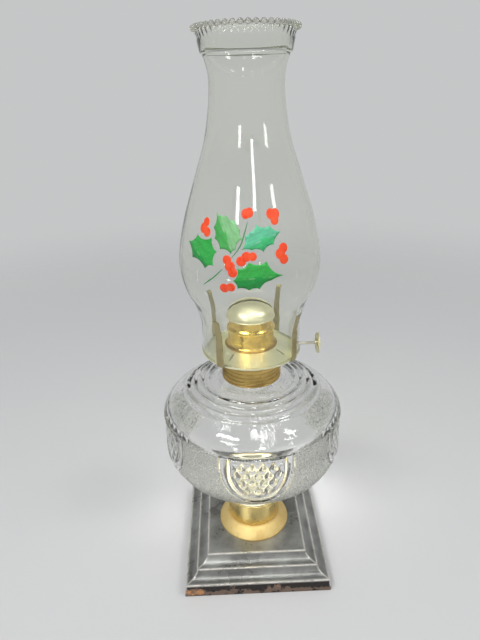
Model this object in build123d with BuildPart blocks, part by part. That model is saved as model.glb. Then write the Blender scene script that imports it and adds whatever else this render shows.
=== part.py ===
"""Table oil lamp: a pressed glass font on a stepped iron base, a flat-wick brass burner
and a clear glass chimney with a beaded top.

Millimetres. The origin is the middle of the base on the floor, +Z is up, -Y is the front,
and the wick's thumbwheel stands out on +X.
"""

import os
from math import cos, radians, sin

from build123d import *

os.makedirs("parts", exist_ok=True)

# Driving dimensions

# Stepped base, cast iron: half widths of its square edges and their heights
foot_half = 61.5
skirt_half, skirt_top = 60.3, 11.2
middle_half, middle_top = 51.3, 18.6
plate_half, plate_top = 42.2, 25.6
edge_flat = 1.2
base_wall = 5.0
bolt_radius = 4.0
bolt_play = 0.3

# Stem between base and font, spun brass sheet
sheet = 0.9
flange_radius, flange_lip = 31.0, 1.6
stem_waist, waist_z = 21.8, 35.0
ferrule_mouth, ferrule_top = 23.4, 58.0

# Glass font
peg_radius, peg_bottom = 12.5, 42.0
font_foot_radius = 21.6
bowl_waist_radius, bowl_waist_z = 40.5, 80.0
bowl_turn_radius, bowl_turn_z = 62.0, 99.5
font_radius, bowl_top_z = 71.6, 120.0
panel_top, panel_side_low, panel_bottom = 148.6, 138.0, 113.5
panel_half, panel_rise, panel_count = 21.0, 0.9, 5
band_z, band_radius, band_middle_z = 150.0, 70.0, 152.2
shoulder_edge_radius, shoulder_edge_z = 71.9, 154.6
shoulder_swell = (64.3, 161.5)
shoulder_top, shoulder_flat, shoulder_fall = 175.6, 25.0, 0.0093
ring_inner, ring_outer, ring_count, ring_bulge = 33.0, 55.0, 4, 0.8
font_wall, side_wall = 4.6, 6.2
cavity_top, cavity_shoulder, cavity_bowl = (36.0, 168.2), (59.6, 157.2), (63.2, 108.9)
neck_radius, neck_bore, neck_top = 20.4, 17.2, 188.5

# Threaded collar
collar_radius, collar_bottom, collar_top = 22.7, 177.6, 192.0
collar_bore = 16.3
collar_rings = 3

# Burner, sheet brass
brass = 0.8
thread_radius, thread_bottom = 15.9, 183.0
basket_low_radius, basket_top_radius = 20.5, 31.0
deck_radius, deck_top = 38.2, 203.0
deck_inner, deck_inner_z = 20.6, 206.6
cone_radius, cone_top = 17.6, 229.6
dome_radius, dome_apex = 18.2, 241.8
slot_length, slot_width = 33.6, 3.8
prong_angle, prong_width, prong_tip_width = 52.0, 6.2, 4.2
prong_top = 240.0

# Wick and its raiser
wick_width, wick_thick = 25.4, 2.4
wick_top, wick_bottom = 235.0, 166.0
tube_play, tube_wall, tube_top = 0.5, 0.6, 234.0
shaft_radius, shaft_y, shaft_z = 1.1, 6.5, 200.0
shaft_play = 0.07
sprocket_radius, sprocket_root, sprocket_teeth, sprocket_pitch = 4.95, 3.9, 14, 7.5
wheel_radius, wheel_x, wheel_notches = 8.4, 54.0, 36

# Glass chimney
glass = 2.2
fitter_radius, fitter_top = 37.4, 224.0
bulge_radius, bulge_z = 50.8, 275.5
throat_radius, throat_z = 24.3, 389.0
crown_radius, crown_z = 30.2, 413.2
bead_ring, bead_radius, bead_z, bead_count = 32.3, 1.7, 419.8, 46


def finish(piece, name):
    """Labels a finished piece and writes it to its own file."""
    piece.part.label = name
    export_step(piece.part, f"parts/{name}.step")


def radial_plane(angle):
    """The upright plane through the lamp's axis at that angle: local x is outward, local y is up."""
    a = radians(angle)
    return Plane(origin=(0, 0, 0), x_dir=(cos(a), sin(a), 0), z_dir=(sin(a), -cos(a), 0))


# Base casting: a square moulding of two coves, hollow below, made where two long mouldings cross
def base_outline():
    """Half of the base's outline, from the floor to the middle of the top plate."""
    Polyline((0, 0), (foot_half, 0), (skirt_half, skirt_top), (skirt_half - edge_flat, skirt_top))
    for outer, low, inner, high in (
        (skirt_half, skirt_top, middle_half, middle_top),
        (middle_half, middle_top, plate_half, plate_top),
    ):
        arc_x, arc_z = outer - edge_flat, high - edge_flat
        EllipticalCenterArc((arc_x, arc_z), arc_x - inner, arc_z - low, start_angle=180, arc_size=90)
        Polyline((inner, arc_z), (inner, high), (inner - edge_flat, high))
    Polyline((plate_half - edge_flat, plate_top), (0, plate_top), (0, 0))


with BuildPart() as base_casting:
    for side, mode in ((Plane.XZ, Mode.ADD), (Plane.YZ, Mode.INTERSECT)):
        with BuildSketch(side) as moulding:
            with BuildLine():
                base_outline()
            make_face()
            mirror(about=Plane.YZ)
        extrude(amount=2 * foot_half, both=True, mode=mode)
    with BuildSketch(Plane.XY):
        Rectangle(2 * (foot_half - base_wall), 2 * (foot_half - base_wall))
    extrude(amount=skirt_top - base_wall, mode=Mode.SUBTRACT)
    with BuildSketch(Plane.XY):
        Rectangle(2 * (middle_half - base_wall), 2 * (middle_half - base_wall))
    extrude(amount=middle_top - base_wall, mode=Mode.SUBTRACT)
    with BuildSketch(Plane.XY):
        Rectangle(2 * (plate_half - base_wall), 2 * (plate_half - base_wall))
    extrude(amount=plate_top - base_wall, mode=Mode.SUBTRACT)
    with Locations((0, 0, plate_top)):
        Hole(bolt_radius + bolt_play)
finish(base_casting, "base_casting")

# Bolt, washer and nut that pull the stem down on the base
plate_under = plate_top - base_wall
washer_thick, washer_radius = 1.5, 11.0
nut_high, nut_flats = 6.5, 14.0
bolt_head, bolt_end = 4.0, 8.0
ferrule_floor = waist_z + sheet
with BuildPart() as base_bolt:
    with BuildSketch(Plane.XY.offset(ferrule_floor)):
        RegularPolygon(nut_flats / 2, 6, major_radius=False)
    extrude(amount=bolt_head)
    with BuildSketch(Plane.XY.offset(ferrule_floor)):
        Circle(bolt_radius)
    extrude(amount=bolt_end - ferrule_floor)
    chamfer(base_bolt.edges().group_by(Axis.Z)[0], 0.6)
finish(base_bolt, "base_bolt")

with BuildPart() as base_washer:
    with BuildSketch(Plane.XY.offset(plate_under - washer_thick)):
        Circle(washer_radius)
        Circle(bolt_radius + bolt_play, mode=Mode.SUBTRACT)
    extrude(amount=washer_thick)
finish(base_washer, "base_washer")

with BuildPart() as base_nut:
    with BuildSketch(Plane.XY.offset(plate_under - washer_thick - nut_high)):
        RegularPolygon(nut_flats / 2, 6, major_radius=False)
        Circle(bolt_radius, mode=Mode.SUBTRACT)
    extrude(amount=nut_high)
finish(base_nut, "base_nut")

# Stem flange: a spun skirt that spreads the font's weight on the top plate
flange_shoulder, flange_shoulder_z = 29.6, plate_top + 3.0
with BuildPart() as stem_flange:
    with BuildSketch(Plane.XZ):
        with BuildLine():
            Polyline((flange_radius - sheet, plate_top), (flange_radius, plate_top))
            Line((flange_radius, plate_top), (flange_radius, plate_top + flange_lip))
            ThreePointArc(
                (flange_radius, plate_top + flange_lip),
                (flange_shoulder, flange_shoulder_z),
                (stem_waist, waist_z),
            )
            Polyline(
                (stem_waist, waist_z),
                (bolt_radius + bolt_play, waist_z),
                (bolt_radius + bolt_play, waist_z - sheet),
                (stem_waist - sheet, waist_z - sheet),
            )
            ThreePointArc(
                (stem_waist - sheet, waist_z - sheet),
                (flange_shoulder - sheet, flange_shoulder_z - sheet),
                (flange_radius - sheet, plate_top),
            )
        make_face()
    revolve(axis=Axis.Z)
finish(stem_flange, "stem_flange")

# Stem ferrule: the cup that the font's peg is set in
lip_radius = 0.7
with BuildPart() as stem_ferrule:
    with BuildSketch(Plane.XZ):
        with BuildLine():
            Polyline(
                (bolt_radius + bolt_play, waist_z),
                (stem_waist, waist_z),
                (ferrule_mouth, ferrule_top),
                (ferrule_mouth - sheet, ferrule_top),
                (stem_waist - sheet, waist_z + sheet),
                (bolt_radius + bolt_play, waist_z + sheet),
                close=True,
            )
        make_face()
    revolve(axis=Axis.Z)
    with BuildSketch(Plane.XZ):
        with Locations((ferrule_mouth, ferrule_top - lip_radius)):
            Circle(lip_radius)
    revolve(axis=Axis.Z)
finish(stem_ferrule, "stem_ferrule")

# Glass font: bowl, shoulder with stepped rings, neck inside the collar and peg inside the ferrule
seat_z, neck_seat_radius = ferrule_top + 0.4, 24.0


def shoulder_z(radius):
    """Height of the shoulder's valleys, which fall away from the collar."""
    return shoulder_top - shoulder_fall * (radius - shoulder_flat) ** 2


def font_side(inset):
    """The bowl's side from the font's foot to the shoulder's edge, moved inwards by inset."""
    funnel = ThreePointArc(
        (font_foot_radius, seat_z),
        (bowl_waist_radius - inset, bowl_waist_z),
        (bowl_turn_radius - inset, bowl_turn_z),
    )
    TangentArc(funnel @ 1, (font_radius - inset, bowl_top_z), tangent=funnel % 1)
    Line((font_radius - inset, bowl_top_z), (font_radius - inset, band_z))


with BuildPart() as font_panels:
    with BuildSketch(Plane.XZ):
        with BuildLine():
            font_side(-panel_rise)
            Polyline(
                (font_radius + panel_rise, band_z),
                (font_foot_radius - 1.0, band_z),
                (font_foot_radius - 1.0, seat_z),
                (font_foot_radius, seat_z),
            )
        make_face()
    revolve(axis=Axis.Z)
    for panel in range(panel_count):
        turn = radians(360 * panel / panel_count - 90)
        outward = (cos(turn), sin(turn), 0)
        with BuildSketch(Plane(origin=(0, 0, 0), x_dir=(-sin(turn), cos(turn), 0), z_dir=outward)):
            with BuildLine():
                Line((0, panel_top), (panel_half, panel_top))
                Line((panel_half, panel_top), (panel_half, panel_side_low))
                EllipticalCenterArc(
                    (0, panel_side_low),
                    panel_half,
                    panel_side_low - panel_bottom,
                    start_angle=0,
                    arc_size=-90,
                )
                Line((0, panel_bottom), (0, panel_top))
            make_face()
            mirror(about=Plane.YZ)
    extrude(amount=2 * font_radius, mode=Mode.INTERSECT)

with BuildPart() as font:
    with BuildSketch(Plane.XZ):
        with BuildLine():
            Polyline((0, peg_bottom), (peg_radius, peg_bottom), (peg_radius, seat_z - 3.0))
            Polyline((peg_radius, seat_z - 3.0), (font_foot_radius - 1.2, seat_z - 1.2))
            Line((font_foot_radius - 1.2, seat_z - 1.2), (font_foot_radius, seat_z))
            font_side(0)
            ThreePointArc(
                (font_radius, band_z),
                (band_radius, band_middle_z),
                (shoulder_edge_radius, shoulder_edge_z),
            )
            ThreePointArc(
                (shoulder_edge_radius, shoulder_edge_z),
                shoulder_swell,
                (ring_outer, shoulder_z(ring_outer)),
            )
            step = (ring_outer - ring_inner) / ring_count
            for ring in range(ring_count):
                outer = ring_outer - ring * step
                middle, inner = outer - step / 2, outer - step
                ThreePointArc(
                    (outer, shoulder_z(outer)),
                    (middle, shoulder_z(middle) + ring_bulge),
                    (inner, shoulder_z(inner)),
                )
            Polyline(
                (ring_inner, shoulder_z(ring_inner)),
                (neck_seat_radius, collar_bottom),
                (neck_radius, collar_bottom),
                (neck_radius, neck_top),
                (0, neck_top),
                (0, peg_bottom),
            )
        make_face()
    revolve(axis=Axis.Z)
    add(font_panels.part)
    with BuildSketch(Plane.XZ):
        with BuildLine():
            Polyline((0, neck_top), (neck_bore, neck_top), (neck_bore, shoulder_z(ring_inner) - font_wall))
            ThreePointArc(
                (neck_bore, shoulder_z(ring_inner) - font_wall),
                cavity_top,
                (ring_outer - 3.0, shoulder_z(ring_outer) - font_wall),
            )
            ThreePointArc(
                (ring_outer - 3.0, shoulder_z(ring_outer) - font_wall),
                cavity_shoulder,
                (font_radius - side_wall, band_z - 2.0),
            )
            Line((font_radius - side_wall, band_z - 2.0), (font_radius - side_wall, bowl_top_z))
            ThreePointArc(
                (font_radius - side_wall, bowl_top_z),
                cavity_bowl,
                (bowl_turn_radius - font_wall, bowl_turn_z + 2.0),
            )
            Polyline(
                (bowl_turn_radius - font_wall, bowl_turn_z + 2.0),
                (font_foot_radius, seat_z + 8.0),
                (0, seat_z + 6.0),
                (0, neck_top),
            )
        make_face()
    revolve(axis=Axis.Z, mode=Mode.SUBTRACT)
finish(font, "font")

# Plaster that sets the peg in the ferrule, round the bolt's head
plaster_top = ferrule_top - 2.8
ferrule_lean = (ferrule_mouth - stem_waist) / (ferrule_top - ferrule_floor)
plaster_top_radius = stem_waist - sheet + ferrule_lean * (plaster_top - ferrule_floor)
with BuildPart() as peg_plaster:
    with BuildSketch(Plane.XZ):
        with BuildLine():
            Polyline(
                (0, ferrule_floor),
                (stem_waist - sheet, ferrule_floor),
                (plaster_top_radius, plaster_top),
                (peg_radius, plaster_top),
                (peg_radius, peg_bottom),
                (0, peg_bottom),
                close=True,
            )
        make_face()
    revolve(axis=Axis.Z)
    add(base_bolt.part, mode=Mode.SUBTRACT)
finish(peg_plaster, "peg_plaster")

# Collar: a spun channel over the glass neck, with rolled rings outside and the burner's bore inside
channel_top = collar_top - 1.2
ring_gap = 3.4
with BuildPart() as collar:
    with BuildSketch(Plane.XZ):
        with BuildLine():
            Polyline(
                (collar_radius, collar_bottom),
                (collar_radius, collar_top - 1.0),
                (collar_radius - 1.0, collar_top),
                (collar_bore, collar_top),
                (collar_bore, thread_bottom - 1.0),
                (neck_bore, thread_bottom - 1.0),
                (neck_bore, channel_top),
                (collar_radius - sheet, channel_top),
                (collar_radius - sheet, collar_bottom),
                close=True,
            )
        make_face()
        for ring in range(collar_rings + 1):
            with Locations((collar_radius, collar_bottom + 0.9 + ring * ring_gap)):
                Circle(0.7)
    revolve(axis=Axis.Z)
    with BuildSketch(Plane.XY.offset(collar_bottom)):
        Circle(2 * collar_radius)
    extrude(amount=-collar_radius, mode=Mode.SUBTRACT)
finish(collar, "collar")

with BuildPart() as collar_plaster:
    with BuildSketch(Plane.XZ):
        with BuildLine():
            Polyline(
                (neck_radius, collar_bottom + 0.4),
                (collar_radius - sheet, collar_bottom + 0.4),
                (collar_radius - sheet, channel_top),
                (neck_bore, channel_top),
                (neck_bore, neck_top),
                (neck_radius, neck_top),
                close=True,
            )
        make_face()
    revolve(axis=Axis.Z)
finish(collar_plaster, "collar_plaster")

# Burner thimble: a cup whose rolled thread goes into the collar, with a flange that stops on it
tube_half_x = wick_width / 2 + tube_play + tube_wall
tube_half_y = wick_thick / 2 + tube_play + tube_wall
flange_top = collar_top + brass
thread_pitch = 2.4
with BuildPart() as burner_thimble:
    with BuildSketch(Plane.XZ):
        with BuildLine():
            Polyline(
                (0, thread_bottom),
                (thread_radius - 0.5, thread_bottom),
                (thread_radius - 0.5, collar_top),
                (collar_radius - 1.2, collar_top),
                (collar_radius - 1.2, flange_top),
                (thread_radius - 0.5 - brass, flange_top),
                (thread_radius - 0.5 - brass, thread_bottom + brass),
                (0, thread_bottom + brass),
                close=True,
            )
        make_face()
        for turn in range(3):
            with Locations((thread_radius - 0.5, thread_bottom + 2.0 + turn * thread_pitch)):
                Circle(0.5)
    revolve(axis=Axis.Z)
    with BuildSketch(Plane.XY.offset(thread_bottom - 1.0)):
        RectangleRounded(2 * tube_half_x, 2 * tube_half_y, tube_half_y - 0.1)
        with Locations((0, -8.0)):
            Circle(1.5)
    extrude(amount=brass + 2.0, mode=Mode.SUBTRACT)
finish(burner_thimble, "burner_thimble")

# Air basket: the perforated funnel that feeds air to the flame
basket_floor = flange_top + brass
deck_under = deck_top - 0.9
with BuildPart() as air_basket:
    with BuildSketch(Plane.XZ):
        with BuildLine():
            Polyline(
                (basket_low_radius - 3.5, flange_top),
                (basket_low_radius, flange_top),
                (basket_top_radius, deck_under - brass),
                (basket_top_radius + 1.5, deck_under - brass),
                (basket_top_radius + 1.5, deck_under),
                (basket_top_radius - brass, deck_under),
                (basket_low_radius - brass, basket_floor),
                (basket_low_radius - 3.5, basket_floor),
                close=True,
            )
        make_face()
    revolve(axis=Axis.Z)
    with BuildSketch(Plane.XY.offset(flange_top)):
        with PolarLocations(basket_low_radius + 3.6, 30):
            Circle(1.0)
        with PolarLocations(basket_low_radius + 7.2, 30, start_angle=6):
            Circle(1.2)
    extrude(amount=deck_top - flange_top, mode=Mode.SUBTRACT)
    with BuildSketch(Plane.YZ):
        with Locations((shaft_y, shaft_z)):
            Circle(shaft_radius + shaft_play + brass)
    extrude(amount=deck_radius, mode=Mode.SUBTRACT)
finish(air_basket, "air_basket")

# Gallery deck: the chimney stands on its rim, the drum on its inner seat, and four slits let in air
rim_inner, seat_inner = 33.0, cone_radius - brass
slit_low, slit_high, slit_width, slit_angle = 22.4, 29.0, 1.2, 54.0
rivet_circle, rivet_radius = 34.0, 0.8
with BuildPart() as gallery_deck:
    with BuildSketch(Plane.XZ):
        with BuildLine():
            Polyline(
                (deck_radius, deck_under),
                (deck_radius, deck_top),
                (rim_inner, deck_top),
                (deck_inner, deck_inner_z),
                (seat_inner, deck_inner_z),
                (seat_inner, deck_inner_z - 0.9),
                (deck_inner, deck_inner_z - 0.9),
                (rim_inner, deck_under),
                close=True,
            )
        make_face()
    revolve(axis=Axis.Z)
    with BuildSketch(Plane.XY.offset(deck_under)):
        with PolarLocations((slit_low + slit_high) / 2, 4, start_angle=slit_angle):
            SlotOverall(slit_high - slit_low, slit_width)
        with PolarLocations(rivet_circle, 4, start_angle=prong_angle):
            Circle(rivet_radius)
    extrude(amount=deck_inner_z - deck_under, mode=Mode.SUBTRACT)
finish(gallery_deck, "gallery_deck")

# Chimney prongs: four tapering spring straps riveted under the rim, leaning out past the glass
strap = 0.6
prong_line = deck_radius + 0.5 + strap / 2
prong_lean_z, prong_lean_radius = 226.0, 41.4
for number, place in enumerate(("back_right", "back_left", "front_left", "front_right")):
    angle = prong_angle + 90 * number
    out_x, out_y = cos(radians(angle)), sin(radians(angle))
    with BuildPart() as prong:
        with BuildSketch(radial_plane(angle)):
            with BuildLine():
                FilletPolyline(
                    (rivet_circle - 1.2, deck_under - strap / 2),
                    (prong_line, deck_under - strap / 2),
                    (prong_line, prong_lean_z),
                    (prong_lean_radius, prong_top - 1.6),
                    (prong_lean_radius + 1.8, prong_top),
                    radius=0.6,
                )
            trace(line_width=strap)
        extrude(amount=prong_width / 2, both=True)
        with BuildSketch(Plane(origin=(0, 0, 0), x_dir=(-out_y, out_x, 0), z_dir=(out_x, out_y, 0))):
            with BuildLine():
                Polyline(
                    (-prong_width / 2, deck_under - 2),
                    (prong_width / 2, deck_under - 2),
                    (prong_width / 2, deck_top + 8),
                    (prong_tip_width / 2, prong_top + 2),
                    (-prong_tip_width / 2, prong_top + 2),
                    (-prong_width / 2, deck_top + 8),
                    close=True,
                )
            make_face()
        extrude(amount=2 * deck_radius, mode=Mode.INTERSECT)
        with BuildSketch(Plane.XY.offset(deck_under - 2 * strap)):
            with Locations((rivet_circle * out_x, rivet_circle * out_y)):
                Circle(rivet_radius)
        extrude(amount=3 * strap, mode=Mode.SUBTRACT)
    finish(prong, f"prong_{place}")

with BuildPart() as prong_rivets:
    for radius, low, high in (
        (rivet_radius, deck_under - strap, deck_top),
        (1.1, deck_top, deck_top + 0.45),
        (1.5, deck_under - 2 * strap, deck_under - strap),
    ):
        with BuildSketch(Plane.XY.offset(low)):
            with PolarLocations(rivet_circle, 4, start_angle=prong_angle):
                Circle(radius)
        extrude(amount=high - low)
finish(prong_rivets, "prong_rivets")

# Cone body: the drum that carries the dome, with a spread foot and one rolled bead
bead_low, bead_high = 219.4, 222.6
cone_neck = cone_radius - 0.8
with BuildPart() as cone_body:
    with BuildSketch(Plane.XZ):
        with BuildLine():
            Polyline(
                (cone_radius - brass, deck_inner_z),
                (deck_inner - 0.3, deck_inner_z),
                (deck_inner - 0.3, deck_inner_z + brass),
            )
            ThreePointArc(
                (deck_inner - 0.3, deck_inner_z + brass),
                (cone_radius + 0.8, deck_inner_z + 2.0),
                (cone_radius, deck_inner_z + 4.4),
            )
            Line((cone_radius, deck_inner_z + 4.4), (cone_radius, bead_low))
            ThreePointArc(
                (cone_radius, bead_low),
                (cone_radius + 0.9, (bead_low + bead_high) / 2),
                (cone_radius, bead_high),
            )
            Polyline(
                (cone_radius, bead_high),
                (cone_neck, bead_high + 1.2),
                (cone_neck, cone_top),
                (cone_neck - brass, cone_top),
                (cone_neck - brass, bead_high + 1.0),
                (cone_radius - brass, bead_high),
                (cone_radius - brass, deck_inner_z),
            )
        make_face()
    revolve(axis=Axis.Z)
finish(cone_body, "cone_body")

# Dome: spun cap with a rolled rim and the long slot that the flame comes through
dome_rim_z = cone_top + brass
dome_high = dome_apex - dome_rim_z
with BuildPart() as dome:
    with BuildSketch(Plane.XZ):
        with BuildLine():
            Polyline(
                (dome_radius - brass, dome_rim_z),
                (cone_neck - brass, dome_rim_z),
                (cone_neck - brass, cone_top),
                (dome_radius, cone_top),
                (dome_radius, dome_rim_z),
            )
            EllipticalCenterArc((0, dome_rim_z), dome_radius, dome_high, start_angle=0, arc_size=90)
            Line((0, dome_apex), (0, dome_apex - brass))
            EllipticalCenterArc(
                (0, dome_rim_z), dome_radius - brass, dome_high - brass, start_angle=0, arc_size=90
            )
        make_face()
        with Locations((dome_radius, cone_top + brass / 2)):
            Circle(brass / 2)
    revolve(axis=Axis.Z)
    with BuildSketch(Plane.XY.offset(dome_rim_z)):
        SlotOverall(slot_length, slot_width)
    extrude(amount=dome_high + 1, mode=Mode.SUBTRACT)
finish(dome, "dome")

# Wick tube, with windows in its back wall for the sprockets
sprocket_places = [sprocket_pitch * i for i in (-1, 0, 1)]
with BuildPart() as wick_tube:
    with BuildSketch(Plane.XY.offset(thread_bottom - 1.0)):
        RectangleRounded(2 * tube_half_x, 2 * tube_half_y, tube_half_y - 0.1)
        RectangleRounded(
            2 * (tube_half_x - tube_wall),
            2 * (tube_half_y - tube_wall),
            tube_half_y - tube_wall - 0.1,
            mode=Mode.SUBTRACT,
        )
    extrude(amount=tube_top - thread_bottom + 1.0)
    with BuildSketch(Plane.XZ):
        for place in sprocket_places:
            with Locations((place, shaft_z)):
                Rectangle(2.4, 2 * sprocket_radius + 0.8)
    extrude(amount=-shaft_y, mode=Mode.SUBTRACT)
finish(wick_tube, "wick_tube")

# Ratchet housing: a thin box over the sprockets behind the wick tube, bored for the shaft
housing_half, housing_back = 11.2, 12.6
housing_low, housing_high = 194.4, 205.6
housing_wall = 0.6
housing_middle = (housing_low + housing_high) / 2
with BuildPart() as ratchet_housing:
    with BuildSketch(Plane.XZ.offset(-tube_half_y)):
        with Locations((0, housing_middle)):
            Rectangle(2 * housing_half, housing_high - housing_low)
    extrude(amount=tube_half_y - housing_back)
    with BuildSketch(Plane.XZ.offset(-tube_half_y)):
        with Locations((0, housing_middle)):
            Rectangle(2 * (housing_half - housing_wall), housing_high - housing_low - 2 * housing_wall)
    extrude(amount=tube_half_y - housing_back + housing_wall, mode=Mode.SUBTRACT)
    with BuildSketch(Plane.YZ):
        with Locations((shaft_y, shaft_z)):
            Circle(shaft_radius + shaft_play)
    extrude(amount=2 * housing_half, both=True, mode=Mode.SUBTRACT)
finish(ratchet_housing, "ratchet_housing")

# Shaft bushing: the sleeve through the basket's wall that steadies the shaft
bushing_in, bushing_out = 26.0, 36.0
with BuildPart() as shaft_bushing:
    with BuildSketch(Plane.YZ.offset(bushing_in)):
        with Locations((shaft_y, shaft_z)):
            Circle(shaft_radius + shaft_play + brass)
            Circle(shaft_radius + shaft_play, mode=Mode.SUBTRACT)
    extrude(amount=bushing_out - bushing_in)
finish(shaft_bushing, "shaft_bushing")

# Wick shaft: drawn wire, upset at its far end over the thumbwheel
shaft_start, shaft_head = -12.6, 0.8
hub_in, hub_out = wheel_x - 2.0, wheel_x + 1.4
with BuildPart() as wick_shaft:
    with BuildSketch(Plane.YZ.offset(shaft_start)):
        with Locations((shaft_y, shaft_z)):
            Circle(shaft_radius)
    extrude(amount=hub_out - shaft_start)
    with BuildSketch(Plane.YZ.offset(hub_out)):
        with Locations((shaft_y, shaft_z)):
            Circle(shaft_radius + 0.6)
    extrude(amount=shaft_head)
    fillet(wick_shaft.edges().group_by(Axis.X)[-1], 0.5)
finish(wick_shaft, "wick_shaft")

# Sprocket wheels: three toothed discs fixed on the shaft, which drive the wick
sprocket_thick = 1.4
with BuildPart() as sprocket_wheels:
    for place in sprocket_places:
        with BuildSketch(Plane.YZ.offset(place - sprocket_thick / 2)):
            with Locations((shaft_y, shaft_z)):
                with BuildLine():
                    corners = []
                    for tooth in range(2 * sprocket_teeth):
                        reach = sprocket_root if tooth % 2 else sprocket_radius
                        lead = radians(180 * tooth / sprocket_teeth)
                        corners.append((shaft_y + reach * cos(lead), shaft_z + reach * sin(lead)))
                    Polyline(*corners, close=True)
                make_face()
                Circle(shaft_radius, mode=Mode.SUBTRACT)
        extrude(amount=sprocket_thick)
finish(sprocket_wheels, "sprocket_wheels")

# Thumbwheel: a dished disc with a notched edge
hub_radius, dish, wheel_thick, rim_thick = 2.6, 1.1, 0.9, 0.7
shaft_line = Axis((0, shaft_y, shaft_z), (1, 0, 0))
with BuildPart() as thumbwheel:
    with BuildSketch(Plane(origin=(0, shaft_y, shaft_z), x_dir=(1, 0, 0), z_dir=(0, -1, 0))):
        with BuildLine():
            Polyline(
                (hub_in, shaft_radius),
                (hub_in, hub_radius),
                (wheel_x - wheel_thick / 2 + dish, hub_radius),
                (wheel_x - wheel_thick / 2 + dish, hub_radius + 1.6),
                (wheel_x - wheel_thick / 2, wheel_radius - 1.2),
                (wheel_x - wheel_thick / 2 - rim_thick, wheel_radius - 0.6),
                (wheel_x - wheel_thick / 2, wheel_radius),
                (wheel_x + wheel_thick / 2, wheel_radius),
                (wheel_x + wheel_thick / 2, wheel_radius - 1.2),
                (wheel_x + wheel_thick / 2 + dish, hub_radius + 1.6),
                (wheel_x + wheel_thick / 2 + dish, hub_radius),
                (hub_out, hub_radius),
                (hub_out, shaft_radius),
                close=True,
            )
        make_face()
    revolve(axis=shaft_line)
    with BuildSketch(Plane.YZ.offset(hub_in)):
        with Locations((shaft_y, shaft_z)):
            with PolarLocations(wheel_radius + 0.1, wheel_notches):
                Circle(0.4)
    extrude(amount=hub_out + shaft_head - hub_in, mode=Mode.SUBTRACT)
finish(thumbwheel, "thumbwheel")

# Wick: a flat woven cotton strip
with BuildPart() as wick:
    with BuildSketch(Plane.XY.offset(wick_bottom)):
        RectangleRounded(wick_width, wick_thick, wick_thick / 2 - 0.1)
    extrude(amount=wick_top - wick_bottom)
finish(wick, "wick")


# Chimney: blown glass, a straight fitter, a bulge, a long throat and a flared crown edged with beads
def chimney_side(inset):
    """The chimney's wall from its foot to the throat, moved inwards by inset."""
    Line((fitter_radius - inset, deck_top), (fitter_radius - inset, fitter_top))
    Spline(
        (fitter_radius - inset, fitter_top),
        (41.3 - inset, 241.4),
        (48.4 - inset, 257.4),
        (bulge_radius - inset, bulge_z),
        (46.2 - inset, 302.0),
        (37.5 - inset, 329.6),
        (29.0 - inset, 355.4),
        (throat_radius + 0.8 - inset, 376.5),
        (throat_radius - inset, throat_z),
        tangents=((0, 1), (0, 1)),
    )


crown_step_radius, crown_step_z = 27.6, 405.8
flare_z, crown_top = crown_z + 1.7, bead_z + 0.9
with BuildPart() as chimney:
    with BuildSketch(Plane.XZ):
        with BuildLine():
            chimney_side(0)
            ThreePointArc((throat_radius, throat_z), (25.2, 398.4), (crown_step_radius, crown_step_z))
            Polyline(
                (crown_step_radius, crown_step_z),
                (crown_step_radius + 1.2, crown_step_z + 0.7),
                (crown_radius, crown_z),
                (crown_radius, flare_z),
                (bead_ring + 0.7, bead_z - 1.0),
                (bead_ring + 0.7, crown_top),
                (bead_ring - 2.2, crown_top),
                (crown_radius - glass, flare_z - 0.3),
                (crown_step_radius - glass + 0.8, crown_step_z + 1.6),
            )
            ThreePointArc(
                (crown_step_radius - glass + 0.8, crown_step_z + 1.6),
                (25.2 - glass, 398.4),
                (throat_radius - glass, throat_z),
            )
            chimney_side(glass)
            Line((fitter_radius - glass, deck_top), (fitter_radius, deck_top))
        make_face()
    revolve(axis=Axis.Z)
    with Locations((0, 0, bead_z)):
        with PolarLocations(bead_ring, bead_count):
            Sphere(bead_radius)
finish(chimney, "chimney")
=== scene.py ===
from math import atan2, cos, degrees, hypot, pi, radians, sin, sqrt

import bmesh
import bpy
from mathutils import Matrix, Vector, noise
from mathutils.geometry import interpolate_bezier


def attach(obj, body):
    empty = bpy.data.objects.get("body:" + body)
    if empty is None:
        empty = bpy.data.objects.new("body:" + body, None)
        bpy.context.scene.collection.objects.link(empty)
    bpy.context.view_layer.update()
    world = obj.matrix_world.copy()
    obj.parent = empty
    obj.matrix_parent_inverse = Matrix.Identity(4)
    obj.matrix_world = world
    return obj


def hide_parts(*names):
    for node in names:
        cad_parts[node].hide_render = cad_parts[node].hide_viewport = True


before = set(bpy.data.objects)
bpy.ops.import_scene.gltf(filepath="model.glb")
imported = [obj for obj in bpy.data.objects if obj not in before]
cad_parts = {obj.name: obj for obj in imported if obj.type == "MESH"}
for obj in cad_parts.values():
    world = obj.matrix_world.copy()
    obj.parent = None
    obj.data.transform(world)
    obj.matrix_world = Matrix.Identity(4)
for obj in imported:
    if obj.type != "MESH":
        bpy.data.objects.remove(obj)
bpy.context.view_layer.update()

# Base casting: a square stepped foot with two coves, cast hollow in iron and japanned black.
# Handling has worn its ridges to grey metal, brightened there as a painted highlight, and the japan has
# chipped off round the foot, where brown undercoat and rust show. The skirt below the lowest ridge is
# darkened with painted shade.
MM = 0.001
FOOT_HALF = 61.5
RIDGES = ((60.3, 11.2), (51.3, 18.6), (42.2, 25.6))
RIDGE_FLAT = 1.2
BASE_HOLLOW = ((4.3, 20.6), (37.2, 20.6), (37.2, 13.6), (46.3, 13.6), (46.3, 6.2), (56.5, 6.2), (56.5, 0.0))
COVE_STEPS = 9
RIDGE_WEAR = 0.55
CHIP_PLACE, CHIP_SQUASH = (-0.0525, -0.0615, 0.0045), (1, 1, 2.4)
CHIP_OUTER, CHIP_INNER = 0.0165, 0.0128
SKIRT_TOP, SKIRT_FULL = 0.0112, 0.0098
# The skirt colour is painted shade; the worn iron colour is partly a painted highlight on the ridges.
JAPAN, DUST, SKIRT_PAINTED_SHADE = (0.19, 0.19, 0.18, 1), (0.39, 0.395, 0.375, 1), (0.035, 0.03, 0.028, 1)
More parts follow.
